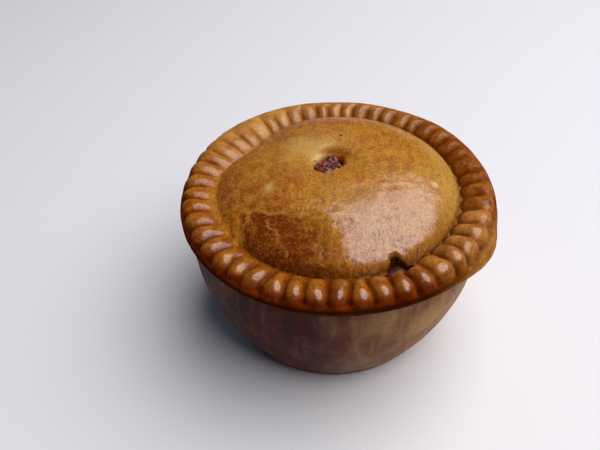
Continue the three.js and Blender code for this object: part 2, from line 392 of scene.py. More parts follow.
def new_material(name, gloss):
    """An empty Principled material. Gives its tree, its shader and the object's own coordinates."""
    material = bpy.data.materials.new(name)
    material.use_nodes = True
    tree = material.node_tree
    shader = tree.nodes["Principled BSDF"]
    for socket, value in gloss.items():
        shader.inputs[socket].default_value = value
    return material, tree, shader, Field(add(tree, "ShaderNodeTexCoord").outputs["Object"])


def blend(tree, under, over, mask, kind="MIX"):
    """A colour over another where the mask is 1. Each is a Field, a hexadecimal tone or a linear colour."""
    node = add(tree, "ShaderNodeMix", data_type="RGBA", blend_type=kind)
    feed(mask, node.inputs[0])
    for colour, socket in ((under, node.inputs[6]), (over, node.inputs[7])):
        feed(tone(colour) if isinstance(colour, str) else colour, socket)
    return Field(node.outputs[2])


def speckle(tree, vector, scale, detail=3.0, roughness=0.55, stretch=None):
    """Soft blotches of a size, from 0 to 1."""
    if stretch:
        vector = Field(add(tree, "ShaderNodeMapping", {"Vector": vector, "Scale": stretch}).outputs[0])
    soft = {"Vector": vector, "Scale": scale, "Detail": detail, "Roughness": roughness}
    return Field(add(tree, "ShaderNodeTexNoise", soft).outputs["Fac"])


def new_group(name, inputs, outputs):
    """An empty shader node group with named inputs. Gives the group, its inputs and its output node."""
    group = bpy.data.node_groups.new(name, "ShaderNodeTree")
    for label, value in inputs.items():
        kind = "NodeSocketVector" if value is None else "NodeSocketFloat"
        socket = group.interface.new_socket(label, in_out="INPUT", socket_type=kind)
        if value is not None:
            socket.default_value = value
    for label in outputs:
        group.interface.new_socket(label, in_out="OUTPUT", socket_type="NodeSocketFloat")
    start = group.nodes.new("NodeGroupInput")
    return group, {label: Field(start.outputs[label]) for label in inputs}, group.nodes.new("NodeGroupOutput")


def use(tree, group, inputs):
    """Puts a group in a material. Gives its outputs by name."""
    node = add(tree, "ShaderNodeGroup", node_tree=group)
    for label, value in inputs.items():
        feed(value, node.inputs[label])
    return {socket.name: Field(socket) for socket in node.outputs}


# Baked pastry browns in soft patches with a fine grain of fat and flour, and its skin is full of tiny pits.
pastry_grain, grain_in, grain_out = new_group(
    "pastry_grain", {"Vector": None, "Patch Scale": 60.0, "Grain Scale": 900.0}, ["Patches", "Grain", "Pits"]
)
broad_patches = speckle(pastry_grain, grain_in["Vector"], grain_in["Patch Scale"], 4.0)
feed(broad_patches.rise(0.3, 0.7), grain_out.inputs["Patches"])
fine_grain = speckle(pastry_grain, grain_in["Vector"], grain_in["Grain Scale"], 4.0, 0.65)
feed(fine_grain.rise(0.3, 0.7), grain_out.inputs["Grain"])
pit_places = {"Vector": grain_in["Vector"], "Scale": grain_in["Grain Scale"] * 0.55}
pit_cells = add(pastry_grain, "ShaderNodeTexVoronoi", pit_places)
pit_rarity = speckle(pastry_grain, grain_in["Vector"], grain_in["Grain Scale"] * 0.2).rise(0.5, 0.62)
feed((1.0 - Field(pit_cells.outputs["Distance"]).rise(0.08, 0.3)) * pit_rarity, grain_out.inputs["Pits"])

baked_case, tree, shader, spot = new_material("baked_case", {"IOR": 1.45, "Specular IOR Level": 0.06})
grain = use(tree, pastry_grain, {"Vector": spot, "Patch Scale": 70.0, "Grain Scale": 1100.0})
x, y, z = xyz(tree, spot)
smears = speckle(tree, spot, 80.0, 5.0, 0.68, stretch=(1.0, 1.0, 0.55)).rise(0.38, 0.62)
streaks = speckle(tree, spot, 300.0, 4.0, 0.6, stretch=(1.0, 1.0, 0.2)).rise(0.45, 0.7)
# the front and the left are dark and the right-hand side paler: partly the case's own colour, partly painted
# shade on the front and left and painted light on the right
lit_and_paler_side = (x * 0.86 - y * 0.3 + 12 * mm * smears).rise(12 * mm, 44 * mm)
colour = blend(tree, "#4C2220", "#5E2E28", grain["Patches"])
colour = blend(tree, colour, blend(tree, "#8E5A34", "#C09460", grain["Patches"]), lit_and_paler_side)
colour = blend(tree, colour, "#7E4A28", (y + 6 * mm * smears).rise(8 * mm, 44 * mm) * 0.6)
colour = blend(tree, colour, "#2A0E10", smears * (0.7 - 0.5 * lit_and_paler_side))
colour = blend(tree, colour, "#BC9260", streaks * (0.08 + 0.45 * lit_and_paler_side))
colour = blend(tree, colour, "#8A5A40", grain["Grain"] * streaks * (0.3 - 0.2 * lit_and_paler_side))
colour = blend(tree, colour, "#4A2214", (1.0 - grain["Grain"]) * smears * lit_and_paler_side * 0.5)
# painted light: the foot of the wall is lightened where light from the table falls back up on it
painted_table_bounce = 1.0 - z.rise(2 * mm, 9 * mm)
colour = blend(tree, colour, "#9A6C50", painted_table_bounce * (0.25 + 0.35 * grain["Grain"]))
tin_edge = ((z - TIN_LINE - 0.7 * mm) / (0.4 * mm)).bell()
colour = blend(tree, colour, "#C9A272", tin_edge * grain["Patches"] * 0.5)
# painted shadow: the top of the wall is darkened under the overhanging flange, less so on the lit right
colour = blend(tree, colour, "#2A100C", z.rise(49.5 * mm, 53.8 * mm) * (0.75 - 0.35 * lit_and_paler_side))
feed(colour, shader.inputs["Base Color"])
feed(0.6 - 0.2 * smears - 0.1 * grain["Grain"], shader.inputs["Roughness"])
bump = add(tree, "ShaderNodeBump", {"Strength": 0.6, "Distance": 0.5 * mm})
feed(grain["Grain"] * 0.35 + streaks * 0.4 + smears * 0.4 - grain["Pits"] * 0.6, bump.inputs["Height"])
feed(Field(bump.outputs[0]), shader.inputs["Normal"])

case = make_piece(
    "raised_case",
    profile_object("case_profile", wall_profile()),
    case_tree,
    {
        "Lean X": LEAN.x,
        "Lean Y": LEAN.y,
        "Lean Height": LEAN_HEIGHT,
        "Bulge": 0.45 * mm,
        "Lumps": 0.9 * mm,
        "Seed": 3,
    },
    baked_case,
)
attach(case, "root")
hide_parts("pastry")

# ---- Lid and crimped rim ----
# The lid is a rolled disc of the same pastry, laid over the filled case and pinched on to it all round into
# finger-wide crimps. It was brushed with egg and has puffed into a dome with a steam hole in the middle.

RIM_HEIGHT = 61.0 * mm
PIE_HEIGHT = 68.0 * mm
GROOVE_RADIUS = 0.775 * RIM_RADIUS
GROOVE_HEIGHT = 0.98 * RIM_RADIUS
CREST_RADIUS = 0.9 * RIM_RADIUS
ROLL_OUTER = 0.088 * RIM_RADIUS
LID_FULLNESS = 2.9
VENT = Vector((-2.6, 2.4)) * mm
VENT_MOUTH = 5.8 * mm
VENT_FLOOR = 62.6 * mm
HIDDEN_HEIGHT = 52.5 * mm
FLANGE_BOTTOM = 54.1 * mm
FLANGE_TOP = 55.9 * mm
SPLIT_ANGLE = -1.108
SPLIT_START = 40.9 * mm


def dome(radius):
    """Height of the lid over a distance from its middle, before the baking pulled it out of true."""
    share = min(1.0, radius / GROOVE_RADIUS)
    return GROOVE_HEIGHT + (PIE_HEIGHT - GROOVE_HEIGHT) * math.sqrt(1 - share**LID_FULLNESS)


def smooth(value, low, high):
    """0 below low, 1 above high, and smooth between, for plain numbers."""
    share = min(1.0, max(0.0, (value - low) / (high - low)))
    return share * share * (3 - 2 * share)


def lid_profile():
    """Rows from the hidden underside, round the flange and over the roll, to the floor of the vent.

    Each row is radius, height, how deep the crimps press it, how far it sags with the flange, and how deep
    the crimps press it where they were pinched from the inside only.
    """
    edge = RIM_RADIUS - 0.75 * mm
    rows = [(0, HIDDEN_HEIGHT, 0, 0), (30 * mm, HIDDEN_HEIGHT, 0, 0), (46 * mm, HIDDEN_HEIGHT, 0, 0.3)]
    rows += [(49.5 * mm, 53.4 * mm, 0, 1)]
    rows += [(out * mm, FLANGE_BOTTOM, 0, 1) for out in (51, 52, 53, 54)]
    for turn in (0, 0.5, 1, 1.5):
        rows.append((edge - (1 - math.sin(turn)) * 0.5 * mm, 54.75 * mm - math.cos(turn) * 0.55 * mm, 0, 1))
    for back, down, sag in ((0, 0.8, 0.95), (0.1, 0.5, 0.9), (0.35, 0.25, 0.84)):
        rows.append((edge - back * mm, FLANGE_TOP - down * mm, 0, sag))
    for step in range(62):
        turn = 0.03 + (3.06 - 0.03) * step / 61
        outside = turn < math.pi / 2
        across = math.copysign(abs(math.cos(turn)) ** (1.0 if outside else 1.2), math.cos(turn))
        up = math.sin(turn)
        width = ROLL_OUTER if outside else CREST_RADIUS - GROOVE_RADIUS + 0.3 * mm
        depth = smooth(turn, 0, 0.45) * (1 - 0.75 * smooth(turn, 2.0, 2.95))
        sag = 0.8 * (1 - smooth(turn, 0, 1.2))
        inner = smooth(turn, 1.15, 2.2) * (1 - 0.5 * smooth(turn, 2.45, 3.05))
        height = FLANGE_TOP + (RIM_HEIGHT - 0.2 * mm - FLANGE_TOP) * up
        rows.append((CREST_RADIUS + width * across, height, depth, sag, inner))
    for step in range(70):
        share = 1 - (step / 69) ** 1.15
        radius = VENT_MOUTH + (GROOVE_RADIUS - 0.1 * mm - VENT_MOUTH) * share
        rows.append((radius, dome(radius), 0, 0))
    mouth = dome(VENT_MOUTH)
    for step in range(1, 11):
        turn = math.pi / 2 * step / 10
        height = mouth - (mouth - VENT_FLOOR) * (1 - math.cos(turn))
        rows.append((VENT_MOUTH - 1.3 * mm * math.sin(turn), height, 0, 0))
    return rows + [(share * VENT_MOUTH, VENT_FLOOR, 0, 0) for share in (0.6, 0.4, 0.2, 0)]


lid_rows = lid_profile()
# which way is out of the skin at each row
lid_outs, lid_ups = [], []
for k in range(len(lid_rows)):
    before, after = lid_rows[max(k - 1, 0)], lid_rows[min(k + 1, len(lid_rows) - 1)]
    along = Vector((after[0] - before[0], after[1] - before[1])).normalized()
    lid_outs.append(along.y)
    lid_ups.append(-along.x)
# the upper side starts with the roll, and the well under the vent's mouth ends it
top_start = next(k for k, row in enumerate(lid_rows) if row[1] > FLANGE_TOP)
well_start = next(k for k, row in enumerate(lid_rows) if k > top_start and row[0] < VENT_MOUTH - 0.001 * mm)
below_mouth = [
    smooth(row[1], VENT_FLOOR, dome(VENT_MOUTH)) if k >= well_start else float(k >= top_start)
    for k, row in enumerate(lid_rows)
]

lid_tree, lid_outline, size = new_tree(
    "crimped_lid",
    {
        "Columns": 576,
        "Crimps": 48,
        "Crimp Depth": 0.0,
        "Crimp Roundness": 0.6,
        "Crimp Spread": 0.0,
        "Crimp Fronting": 0.0,
        "Crimp Turn": 0.0,
        "Crimp Wander": 0.0,
        "Crimp Slant": 0.0,
        "Crest Radius": 1.0,
        "Groove Radius": 1.0,
        "Groove Fill": 0.0,
        "Long Crimp Angle": 0.0,
        "Long Crimp Reach": 0.0,
        "Sag Angle": 0.0,
        "Sag Drop": 0.0,
        "Sag Out": 0.0,
        "Nub Angle": 0.0,
        "Nub Out": 0.0,
        "Dome Height": 0.0,
        "Vent X": 0.0,
        "Vent Y": 0.0,
        "Vent Mouth": 0.0,
        "Funnel Radius": 1.0,
        "Funnel Depth": 0.0,
        "Fold Depth": 0.0,
        "Split Angle": 0.0,
        "Split Floor": 0.0,
        "Lumps": 0.0,
        "Seed": 0,
    },
)
lid_grid, around, row_radius, row_height, mark = turned_grid(lid_tree, lid_outline, size["Columns"])
even = around * math.tau
crimp_count = around * size["Crimps"]
wander = uneven(even, 5, 11, 17) * size["Crimp Wander"]
slant = uneven(even, 9, 14, 22) * (size["Crest Radius"] - row_radius) * size["Crimp Slant"] * mark("crimping")
angle = even + size["Crimp Turn"] + (even * 2.0).sin() * size["Crimp Spread"]
angle = angle + even.cos() * size["Crimp Fronting"] + wander + slant

# The crimps are deep, round beads at the front, softer at the left, flat fingers at the back left and narrow
# folds at the right. Each one is a little higher or lower than its neighbours.
RIGHT, BACK, BACK_LEFT, LEFT, FRONT = 0.25, 1.5, 2.45, 3.4, 4.65
back_left, left, back = near(even, BACK_LEFT, 0.5), near(even, LEFT, 0.5), near(even, BACK, 0.6)
right, front = near(even, RIGHT, 0.8), near(even, FRONT, 0.8)
which = crimp_count.step("FLOOR")
vary = add(lid_tree, "FunctionNodeRandomValue", {"ID": which, "Seed": size["Seed"]}, data_type="FLOAT")
vary.inputs[2].default_value, vary.inputs[3].default_value = 0.8, 1.12
finger = Field(vary.outputs[1])
sharpness = size["Crimp Roundness"] * (1.0 - 0.35 * back_left + 0.15 * right)
ridge = (crimp_count * math.pi).sin().size() ** sharpness
# at the back and the right, the fingers pinched from the inside of the roll
from_inside = (back_left + back + 1.1 * right).capped()
pressing = mark("crimping") * (1.0 - from_inside) + mark("inner_crimping") * from_inside
strength = 1.0 + 0.2 * front - 0.35 * back_left - 0.35 * left - 0.15 * back - 0.2 * right
strength = strength + 0.15 * uneven(even, 4, 7, 13)
lift = pressing * size["Crimp Depth"] * strength * (ridge * finger - 1.0)

is_top = mark("top")
inside = row_radius.step("LESS_THAN", size["Groove Radius"]) * is_top
on_roll = row_radius.step("LESS_THAN", size["Crest Radius"]) * is_top * (1.0 - inside)
groove = size["Groove Radius"] - near(angle, size["Long Crimp Angle"], 0.4) * size["Long Crimp Reach"]
stretch_in = row_radius * (groove / size["Groove Radius"] - 1.0)
stretch_roll = (size["Crest Radius"] - row_radius) * (
    1.0 - (size["Crest Radius"] - groove) / (size["Crest Radius"] - size["Groove Radius"])
)
sagging = near(angle, size["Sag Angle"], 0.4) * mark("sagging")
nub = near(angle, size["Nub Angle"], 0.028) * mark("sagging")
radius = row_radius + inside * stretch_in + on_roll * stretch_roll + lift * mark("outward")
radius = radius + size["Sag Out"] * sagging * sagging + size["Nub Out"] * nub
radius = radius + (1.0 - inside) * is_top * 0.3 * mm * uneven(angle, 3, 4, 7)

span = size["Groove Radius"] - size["Vent Mouth"]
beyond_mouth = ((row_radius - size["Vent Mouth"]) / span).clamped()
drift = (1.0 - beyond_mouth) * is_top
near_mouth = (1.0 - row_radius.rise(6 * mm, 12 * mm)) * is_top
lobe = 1.0 + (0.14 * ((angle - 0.5) * 2.0).cos() + 0.22 * near(angle, 4.5, 0.8)) * near_mouth
ragged = 1.0 + (0.09 * uneven(angle, 3, 5, 8) + 0.02 * uneven(angle, 11, 16, 23)) * near_mouth
x = radius * lobe * ragged * angle.cos() + drift * size["Vent X"]
y = radius * lobe * ragged * angle.sin() + drift * size["Vent Y"]


def reach(off_x, off_y):
    """How far two offsets come to together."""
    return (off_x * off_x + off_y * off_y).step("SQRT")


def around_point(centre_x, centre_y, width):
    """1 at a place on the lid, falling to 0 over a width."""
    return reach((x - centre_x) / width, (y - centre_y) / width).bell()


# the dome is fuller towards the front right; towards the left it runs down into a wide, shallow trough
share = (row_radius / size["Groove Radius"]).clamped()
fullness = LID_FULLNESS + 0.5 * (angle + 0.6).cos() - 0.5 * near(angle, size["Long Crimp Angle"], 0.4)
fullness = fullness - 0.6 * near(angle, LEFT, 0.7)
rise = (1.0 - share**fullness).step("SQRT") - (1.0 - share**LID_FULLNESS).step("SQRT")
# a soft fold runs across the front left, a little up towards the left
past_fold = ((-24.6 * mm - 0.22 * x - y + 0.6 * mm * (x * 600.0).sin()) / (16 * mm)).clamped()
fold = (past_fold**0.75 * math.pi).sin() * ((x + 16 * mm) / (21 * mm)).bell() * (1.0 - share**8.0)
fold = fold * size["Fold Depth"]
funnel = around_point(size["Vent X"] + 1.2 * mm, size["Vent Y"] + 2.4 * mm, size["Funnel Radius"])
funnel = funnel * size["Funnel Depth"] * mark("sinking") * inside
fill_level = GROOVE_HEIGHT + (0.3 + 0.7 * near(angle, LEFT, 0.85)) * size["Groove Fill"]

# the split: a three-cornered hole with its point up the lid, cut down through the groove
toward = x * size["Split Angle"].cos() + y * size["Split Angle"].sin()
side = y * size["Split Angle"].cos() - x * size["Split Angle"].sin()
from_tip = toward - SPLIT_START
opening = 0.8 * mm + 3.4 * mm * (from_tip / (3.4 * mm)).clamped()
edge = side.size() - opening + 0.35 * mm * ((toward * 3200.0).sin() + (side * 2500.0 + 1.0).sin()) * 0.5
hole = (1.0 - edge.rise(-0.4 * mm, 0.4 * mm)) * from_tip.rise(-0.4 * mm, 0.3 * mm)
hole = hole * (1.0 - from_tip.rise(4.7 * mm, 5.9 * mm)) * is_top

height = row_height + lift * mark("upward") + inside * (size["Dome Height"] * rise - fold) - funnel
in_trough = row_radius.step("LESS_THAN", size["Crest Radius"]) * is_top
trough = (fill_level + 1.2 * mm - height).rise(0.0, 2.4 * mm) * in_trough * near(angle, LEFT, 0.8)
height = height * (1.0 - in_trough) + height.step("SMOOTH_MAX", fill_level, 2.0 * mm) * in_trough
height = height - size["Sag Drop"] * sagging + is_top * (1.0 - inside) * 0.25 * mm * uneven(angle, 2, 5, 9)
blister = around_point(34.4 * mm, -6.0 * mm, 1.4 * mm)
height = height + is_top * 0.35 * mm * blister
prick = 1.1 * around_point(1.6 * mm, 18.0 * mm, 0.7 * mm) + 0.8 * around_point(35.2 * mm, 13.8 * mm, 0.5 * mm)
height = height - is_top * 0.3 * mm * prick


def along_crack(points, width):
    """1 on a thin, wavering line through a few places on the lid, in mm, falling to 0 over a width."""
    nearest = None
    for (ax, ay), (bx, by) in zip(points, points[1:]):
        length = math.hypot(bx - ax, by - ay)
        dx, dy = (bx - ax) / length, (by - ay) / length
        off_x = x - ax * mm + 0.5 * mm * (y * 900.0).sin() + 0.25 * mm * (y * 2300.0 + 1.0).sin()
        off_y = y - ay * mm + 0.5 * mm * (x * 800.0).sin()
        run = off_x * dx + off_y * dy
        past = run.size() + (run - length * mm).size() - length * mm
        away = (off_x * dy - off_y * dx).size() + past * 0.5
        nearest = away if nearest is None else nearest.step("MINIMUM", away)
    return (nearest / width).bell() * is_top


crack = along_crack([(16.7, -33.1), (19.2, -34.1), (21.7, -34.8), (23.7, -35.4)], 0.28 * mm)
crack = crack + along_crack([(19.3, -31.8), (20.0, -32.3), (20.8, -33.2)], 0.3 * mm)
crack = crack + along_crack([(25.4, -35.0), (25.8, -33.6), (26.8, -32.0)], 0.3 * mm)
height = height - 0.4 * mm * crack
# the glaze has parted in pale lines down from the fold and along it
fold_path = [(-33.0, -17.0), (-28.7, -19.4), (-20.5, -22.2), (-12.0, -24.0), (-3.0, -25.4)]
pale_line = along_crack([(-28.7, -19.4), (-30.3, -31.0)], 0.4 * mm)
pale_line = pale_line + along_crack([(-22.0, -24.0), (-17.6, -32.5), (-14.6, -38.0)], 0.35 * mm)
pale_line = pale_line + along_crack([(-4.4, -27.0), (-4.6, -33.0), (-4.2, -40.0)], 0.35 * mm)
pale_line = pale_line + along_crack(fold_path, 0.5 * mm)
height = height * (1.0 - hole) + size["Split Floor"] * hole

# the groove's line, which the crust's colour darkens with painted shade
crease = ((row_radius - size["Groove Radius"]) / (1.3 * mm)).bell() * is_top * (1.0 - near(angle, 3.2, 1.0))
baking_and_shade_marks = {
    "furrow": pressing * (1.0 - ridge) * (0.6 + 0.5 * strength),
    "finger": finger,
    "outer_face": mark("outward") * is_top * (1.0 - inside),
    "back_left": (back_left + 0.6 * back).capped(),
    "right": right,
    "sagging": sagging,
    "lid": inside,
    "trough": trough,
    "crease": crease,
    "well": (1.0 - mark("sinking")) * is_top,
    "crack": crack,
    "hole": hole,
    "pale_line": pale_line,
    "prick": prick,
}
lid_skin = lid_grid
for label, value in baking_and_shade_marks.items():
    lid_skin = keep(lid_tree, lid_skin, label, value)
lid_skin = move_to(lid_tree, lid_skin, x, y, height)
for lumps_per_metre, share_of_height in ((BROAD_LUMPS, 1.0), (330.0, 0.32), (900.0, 0.11)):
    lid_skin = swell(lid_tree, lid_skin, lumps_per_metre, size["Lumps"] * share_of_height, size["Seed"])
end_tree(lid_tree, lid_skin, size["Material"])

# Where the egg wash dried in a skin, the heat drew it into a net of fine pale lines.
crazed_wash, craze_in, craze_out = new_group(
    "crazed_wash", {"Vector": None, "Scale": 200.0, "Width": 0.06}, ["Lines"]
)


def vector_sum(operation, first, second=None):
    """Adds a Vector Math node to the net's group."""
    inputs = {0: first} if second is None else {0: first, 1: second}
    return add(crazed_wash, "ShaderNodeVectorMath", inputs, operation=operation)


bend_size = {"Vector": craze_in["Vector"], "Scale": craze_in["Scale"] * 0.9, "Detail": 3.0}
bend = Field(add(crazed_wash, "ShaderNodeTexNoise", bend_size).outputs["Color"])
centred = vector_sum("SUBTRACT", bend, (0.5, 0.5, 0.5))
shortened = vector_sum("SCALE", Field(centred.outputs[0]))
feed(craze_in["Scale"] ** -1.0 * 1.6, shortened.inputs["Scale"])
bent = Field(vector_sum("ADD", craze_in["Vector"], Field(shortened.outputs[0])).outputs[0])
cell_places = {"Vector": bent, "Scale": craze_in["Scale"]}
cells = add(crazed_wash, "ShaderNodeTexVoronoi", cell_places, feature="DISTANCE_TO_EDGE")
craze_lines = 1.0 - Field(cells.outputs["Distance"]).rise(0.0, craze_in["Width"])
worn = speckle(crazed_wash, craze_in["Vector"], craze_in["Scale"] * 0.45, 3.0).rise(0.4, 0.62)
feed(craze_lines * worn, craze_out.inputs["Lines"])

# Egg wash gives the lid its shine and its gold. The pinched ridges, which are thinner, bake to red-brown.
washed_crust, tree, shader, spot = new_material(
    "washed_crust", {"IOR": 1.5, "Coat Roughness": 0.24, "Coat IOR": 2.0, "Specular IOR Level": 0.0}
)
grain = use(tree, pastry_grain, {"Vector": spot, "Patch Scale": 85.0, "Grain Scale": 1300.0})
coarse_net = use(tree, crazed_wash, {"Vector": spot, "Scale": 170.0, "Width": 0.022})["Lines"]
fine_net = use(tree, crazed_wash, {"Vector": spot, "Scale": 600.0, "Width": 0.07})["Lines"]
x, y, z = xyz(tree, spot)


def kept(name):
    """A value that the lid's skin carries, by its name."""
    return Field(add(tree, "ShaderNodeAttribute", attribute_name=name).outputs["Fac"])


furrow, finger, outer_face, back_left, right, sagging, lid, *others = (kept(label) for label in baking_and_shade_marks)
trough, crease, well, crack, hole, pale_line, prick = others
blotch = speckle(tree, spot, 42.0, 3.0, 0.55).rise(0.35, 0.65)
mottle = speckle(tree, spot, 260.0, 6.0, 0.7).rise(0.38, 0.64)
fleck = speckle(tree, spot, 700.0, 3.0, 0.65).rise(0.52, 0.68)

# the top and the right are pale gold, the left and the back a deeper orange-brown
deep = (0.5 - x * 17.0 + (y - 10 * mm).step("MAXIMUM", 0.0) * 30.0 + 0.6 * (blotch - 0.5)).clamped()
colour = blend(tree, "#C0862C", "#AA5A0A", deep)
colour = blend(tree, colour, "#8A3E06", mottle * (0.3 + 0.4 * deep) * (0.35 + 0.65 * blotch))
colour = blend(tree, colour, "#DAA64A", grain["Grain"] * (1.0 - mottle) * (0.75 - 0.3 * deep))
colour = blend(tree, colour, "#7A3204", fleck * (0.3 + 0.3 * mottle))
front_right = (x.rise(-6 * mm, 8 * mm) * (1.0 - (y + 4 * mm * mottle).rise(-22 * mm, -2 * mm))) * lid
colour = blend(tree, colour, blend(tree, "#A4641C", "#8C4A10", mottle), front_right * 0.6)
# flour left a dull, greyish bloom round the vent and to its left
bloom = reach((x + 9 * mm) / (11 * mm), (y - 12 * mm) / (12 * mm)).bell()
bloom = bloom * (0.3 + 0.7 * grain["Patches"]) * lid
flour = reach((x + 22.5 * mm) / (1.8 * mm), (y + 11 * mm) / (2.4 * mm)).bell() * lid
colour = blend(tree, colour, "#DCC69C", (bloom * 0.65 + flour * 0.7).capped())
# below the fold, at the front left, the lid is painted dark: partly a scorched patch, partly painted shade on a
# slope turned from the window
fold_line = -25.6 * mm - 0.22 * x - y + 1.5 * mm * (mottle - 0.5)
scorch_and_shade = fold_line.rise(-0.4 * mm, 1.8 * mm) * (x + 7 * mm * (mottle - 0.5)).rise(-34 * mm, -27 * mm)
scorch_and_shade = scorch_and_shade * (1.0 - (x - 0.5 * fold_line + 10 * mm * (mottle - 0.5)).rise(-18 * mm, 2 * mm)) * lid
front_skirt = fold_line.rise(0.0, 9 * mm) * lid * (1.0 - scorch_and_shade)
skirt_tone = blend(tree, "#B4660C", "#7E3205", (0.7 * mottle + 0.5 * fleck).capped())
colour = blend(tree, colour, skirt_tone, front_skirt * 0.75)
strokes = speckle(tree, spot, 520.0, 4.0, 0.65, stretch=(1.0, 0.28, 0.7)).rise(0.46, 0.64)
colour = blend(tree, colour, "#DFA044", strokes * (0.3 + 0.3 * front_skirt) * lid)
scorch_and_shade_tone = blend(tree, "#5C1406", "#A0500C", (0.75 * fleck + 0.45 * grain["Grain"] * mottle).capped())
colour = blend(tree, colour, scorch_and_shade_tone, scorch_and_shade * 0.92)
right_edge = x.rise(26 * mm, 42 * mm) * y.rise(-26 * mm, -10 * mm) * lid
colour = blend(tree, colour, "#DCB478", right_edge * (0.25 + 0.3 * grain["Grain"]))
net = (0.5 * coarse_net + 0.6 * fine_net) * lid
net = net * (0.55 + 0.3 * scorch_and_shade + 0.4 * front_skirt + 0.25 * (1.0 - x.rise(-38 * mm, -18 * mm)))
net = (net + 0.8 * pale_line * (0.35 + 0.65 * grain["Patches"])).capped()
colour = blend(tree, colour, "#DCA468", net * 0.6)
# the wash pooled in the trough, and dried to a gilt film
gilt = (trough + 0.5 * (mottle - 0.5)).rise(0.15, 1.0)
colour = blend(tree, colour, blend(tree, "#CE9436", "#A8681C", mottle), gilt * 0.75)

# the crimps are amber on their crests and scorched low on their outer faces; painted shade darkens the furrows
# between
rim_tone = blend(tree, "#B4680E", "#823C06", grain["Patches"] * 0.5 + 0.5 * mottle)
rim_tone = blend(tree, rim_tone, blend(tree, "#D8A264", "#BC844A", mottle), back_left * 0.85)
rim_tone = blend(tree, rim_tone, blend(tree, "#9A5220", "#6E2E0E", mottle), right * 0.8)
rim_tone = blend(tree, rim_tone, "#D49A3C", grain["Grain"] * (1.0 - mottle) * (0.5 - 0.2 * right))
# painted light: the front right of the rim, towards the window, is lightened to a tan in place of its broad
# highlights
painted_light_front_right = x.rise(24 * mm, 40 * mm) * (1.0 - y.rise(-22 * mm, -6 * mm))
rim_tone = blend(tree, rim_tone, blend(tree, "#DC9E58", "#B4743A", mottle), painted_light_front_right * 0.6)
rim_tone = blend(tree, rim_tone, "#7A3A0E", finger.rise(0.95, 1.1) * 0.3)
# painted shade in the furrows between the crimps
rim_tone = blend(tree, rim_tone, "#5E1E06", furrow.rise(0.15, 0.9) * (0.8 - 0.25 * back_left - 0.2 * right))
brown_face = outer_face.rise(0.3, 0.9) * (1.0 - 0.6 * back_left)
brown_face = brown_face * (1.0 - 0.4 * right) * (1.0 - 0.4 * painted_light_front_right)
rim_tone = blend(tree, rim_tone, blend(tree, "#7E2C08", "#521604", mottle), brown_face * 0.9)
colour = blend(tree, colour, rim_tone, (1.0 - lid) * (1.0 - gilt * 0.6))
# painted shade along the groove where the lid meets the crimps
colour = blend(tree, colour, "#5A2606", crease * 0.7)
# painted shade on the flange and the foot of the roll, under the roll's bulge
shaded_low_band = (1.0 - z.rise(55.6 * mm, 57.8 * mm)) * (1.0 - lid) * (1.0 - sagging.rise(0.0, 0.6))
colour = blend(tree, colour, "#320C04", shaded_low_band * (0.92 - 0.4 * back_left))
sag_tone = blend(tree, "#B88650", "#96642F", mottle)
colour = blend(tree, colour, sag_tone, sagging.rise(0.3, 0.75) * (0.7 + 0.3 * grain["Patches"]))
# painted shade on the slope that runs down into the vent from its back right
shaded_vent_slope = reach((x - VENT.x - 2.5 * mm) / (6.6 * mm), (y - VENT.y - 4.6 * mm) / (5.6 * mm))
shaded_vent_slope = (1.0 - shaded_vent_slope.rise(0.5, 1.15)) * lid
vent_shade_tone = blend(tree, "#8A4408", "#5E2006", well.step("MAXIMUM", mottle * 0.5))
colour = blend(tree, colour, vent_shade_tone, shaded_vent_slope * 0.85)
# painted shade down the walls of the vent's well
colour = blend(tree, colour, "#521A08", well.rise(0.1, 0.7) * 0.85)
# a torn lip stands at the back left of the hole, painted a pale pink: partly its own raw, pale pastry, partly a
# painted highlight
from_vent_x, from_vent_y = x - VENT.x, y - VENT.y
lip_angle = from_vent_y.step("ARCTAN2", from_vent_x)
lip_and_highlight = ((reach(from_vent_x, from_vent_y) - 5.4 * mm) / (1.25 * mm)).bell()
lip_and_highlight = lip_and_highlight * ((lip_angle - BACK_LEFT) / 0.6).bell() * lid
colour = blend(tree, colour, "#ECC8A8", lip_and_highlight * 0.9)
# painted shade inside the cracks and the pin pricks
colour = blend(tree, colour, "#431607", (crack.rise(0.3, 0.9) + prick.rise(0.3, 0.8)).capped() * 0.85)
# inside the split: partly painted shade, partly the gravy's dark stain on the torn pastry
colour = blend(tree, colour, "#3A0E08", hole.rise(0.02, 0.3))
# the last, finest grain is of dried yolk
yolk_grain = speckle(tree, spot, 1300.0, 3.0, 0.6)
yolk_specks = yolk_grain.rise(0.48, 0.68) * lid * (1.0 - hole)
colour = blend(tree, colour, "#EABC6C", yolk_specks * (0.2 - 0.12 * scorch_and_shade))
colour = blend(tree, colour, "#5E2806", (1.0 - yolk_grain.rise(0.32, 0.52)) * 0.2)
# the yolk tints all that it dried over
YOLK_TINT = (0.97, 0.91, 0.55, 1.0)
colour = blend(tree, colour, YOLK_TINT, 0.6 + 0.4 * lid, "MULTIPLY")
feed(colour, shader.inputs["Base Color"])
# the brush missed the outer face and the flange, so those have no gloss
low_face = 1.0 - z.rise(56.4 * mm, 58.4 * mm) + outer_face.rise(0.55, 0.9) * (1.0 - lid) * (1.0 - 0.5 * right)
